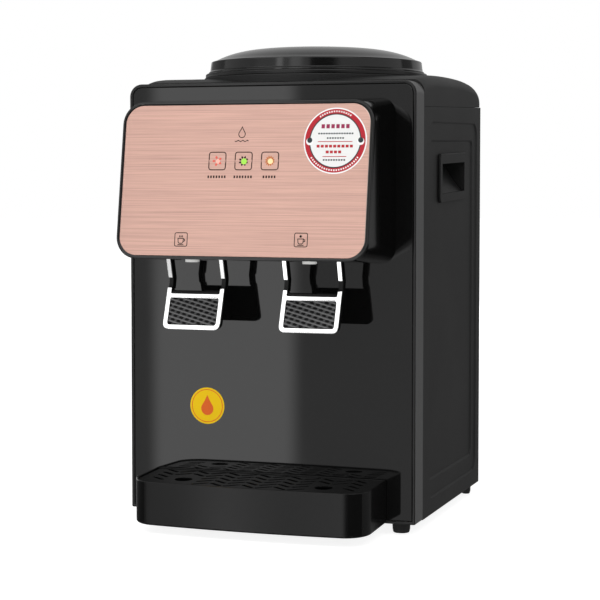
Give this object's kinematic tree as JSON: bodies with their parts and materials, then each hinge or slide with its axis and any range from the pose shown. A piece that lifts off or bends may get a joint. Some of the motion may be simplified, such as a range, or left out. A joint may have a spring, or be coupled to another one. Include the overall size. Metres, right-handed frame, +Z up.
{
  "type": "countertop water dispenser",
  "caption": "Countertop hot and cold bottled-water dispenser: glossy front, tilted rose control head over lever taps, slide-out drip tray, domed bottle-seat lid.",
  "frame": {"origin": "middle of the object's box, on the surface the feet stand on", "axes": "+X to the right seen from the front, +Y towards the back, +Z up; the taps face -Y"},
  "size_m": [0.3108, 0.3743, 0.4994],
  "materials": {
    "gloss_black": "mirror gloss black",
    "satin_black": "satin black moulding",
    "satin_grey": "satin dark grey",
    "matte_black": "fine matte texture",
    "lid_black": "semi-gloss",
    "rose_brushed": "rose, brushed across",
    "chrome": "bright plated",
    "pad_rubber": "raised lattice",
    "foot_rubber": "matte",
    "white_plastic": "moulded",
    "stainless": "drawn",
    "foam_white": "expanded bead foam",
    "alloy": "machined",
    "ceramic": "ceramic faced",
    "heater_steel": "heat tinted",
    "board_green": "circuit board",
    "silicone": "translucent",
    "lens_red": "lit lens",
    "lens_green": "lit lens",
    "lens_amber": "lit lens",
    "switch_red": "rocker",
    "switch_green": "rocker"
  },
  "bodies": {
    "housing": {"base_pan": "matte_black", "bottle_probe": "white_plastic", "bottle_seat": "satin_black", "cold_block": "alloy", "cold_hose": "silicone", "cold_lever_spring": "stainless", "cold_pivot_pin": "stainless", "cold_tank": "stainless", "cold_tank_foam": "foam_white", "cold_tap_body": "white_plastic", "cold_tap_spout": "white_plastic", "control_board": "board_green", "cooling_lens": "lens_green", "cord_gland": "matte_black", "drain_outlet": "white_plastic", "fan_frame": "satin_black", "fascia_plate": "rose_brushed", "front_bezel": "satin_grey", "front_left_foot": "foot_rubber", "front_panel": "gloss_black", "front_right_foot": "foot_rubber", "head_shell": "satin_black", "heat_sink": "alloy", "heater_band": "heater_steel", "heating_lens": "lens_red", "hot_feed_hose": "silicone", "hot_hose": "silicone", "hot_lever_spring": "stainless", "hot_pivot_pin": "stainless", "hot_tank": "stainless", "hot_tap_body": "white_plastic", "hot_tap_spout": "white_plastic", "indicator_board": "board_green", "left_handle_cup": "matte_black", "left_side_panel": "matte_black", "peltier_module": "ceramic", "power_lens": "lens_amber", "rear_left_foot": "foot_rubber", "rear_panel": "matte_black", "rear_right_foot": "foot_rubber", "right_handle_cup": "matte_black", "right_side_panel": "matte_black", "switch_housing": "matte_black", "thermostat": "ceramic", "top_cover": "matte_black"},
    "hot_lever": {"hot_lever_back": "satin_black", "hot_lever_frame": "chrome", "hot_lever_pad": "pad_rubber"},
    "cold_lever": {"cold_lever_back": "satin_black", "cold_lever_frame": "chrome", "cold_lever_pad": "pad_rubber"},
    "hot_stem": {"hot_valve_stem": "white_plastic"},
    "cold_stem": {"cold_valve_stem": "white_plastic"},
    "lid": {"dust_lid": "lid_black"},
    "tray": {"drip_tray": "satin_black"},
    "grille": {"drip_grille": "satin_black"},
    "fan": {"fan_rotor": "satin_black"},
    "hot_rocker": {"hot_switch": "switch_red"},
    "cold_rocker": {"cold_switch": "switch_green"},
    "cap": {"drain_cap": "matte_black"}
  },
  "joints": [
    {"name": "hot_lever_press", "type": "hinge", "parent": "housing", "child": "hot_lever", "pos_m": [-0.062, -0.1599, 0.33], "axis": [1, 0, 0], "range_deg": [0, 15], "stiffness_Nm_per_rad": 0.35, "springref_deg": -6.88, "deforming": ["hot_lever_spring"]},
    {"name": "hot_stem_lift", "type": "slide", "parent": "housing", "child": "hot_stem", "axis": [0, 0, 1], "range_m": [0, 0.0024]},
    {"name": "cold_lever_press", "type": "hinge", "parent": "housing", "child": "cold_lever", "pos_m": [0.062, -0.1599, 0.33], "axis": [1, 0, 0], "range_deg": [0, 15], "stiffness_Nm_per_rad": 0.35, "springref_deg": -6.88, "deforming": ["cold_lever_spring"]},
    {"name": "cold_stem_lift", "type": "slide", "parent": "housing", "child": "cold_stem", "axis": [0, 0, 1], "range_m": [0, 0.0024]},
    {"name": "lid_lift", "type": "slide", "parent": "housing", "child": "lid", "axis": [0, 0, 1], "range_m": [0, 0.12]},
    {"name": "tray_pull", "type": "slide", "parent": "housing", "child": "tray", "axis": [0, -1, 0], "range_m": [0, 0.1]},
    {"name": "grille_lift", "type": "slide", "parent": "tray", "child": "grille", "axis": [0, 0, 1], "range_m": [0, 0.06]},
    {"name": "fan_spin", "type": "hinge", "parent": "housing", "child": "fan", "pos_m": [0, 0.1549, 0.33], "axis": [0, 1, 0], "continuous": true},
    {"name": "hot_switch_rock", "type": "hinge", "parent": "housing", "child": "hot_rocker", "pos_m": [0.091, 0.1741, 0.364], "axis": [1, 0, 0], "range_deg": [0, 16]},
    {"name": "cold_switch_rock", "type": "hinge", "parent": "housing", "child": "cold_rocker", "pos_m": [0.113, 0.1741, 0.364], "axis": [1, 0, 0], "range_deg": [0, 16]},
    {"name": "drain_cap_pull", "type": "slide", "parent": "housing", "child": "cap", "axis": [0, 1, 0], "range_m": [0, 0.03]}
  ],
  "couplings": [
    {"joint": "hot_stem_lift", "follows": "hot_lever_press", "m_per_rad": 0.0091673},
    {"joint": "cold_stem_lift", "follows": "cold_lever_press", "m_per_rad": 0.0091673}
  ]
}
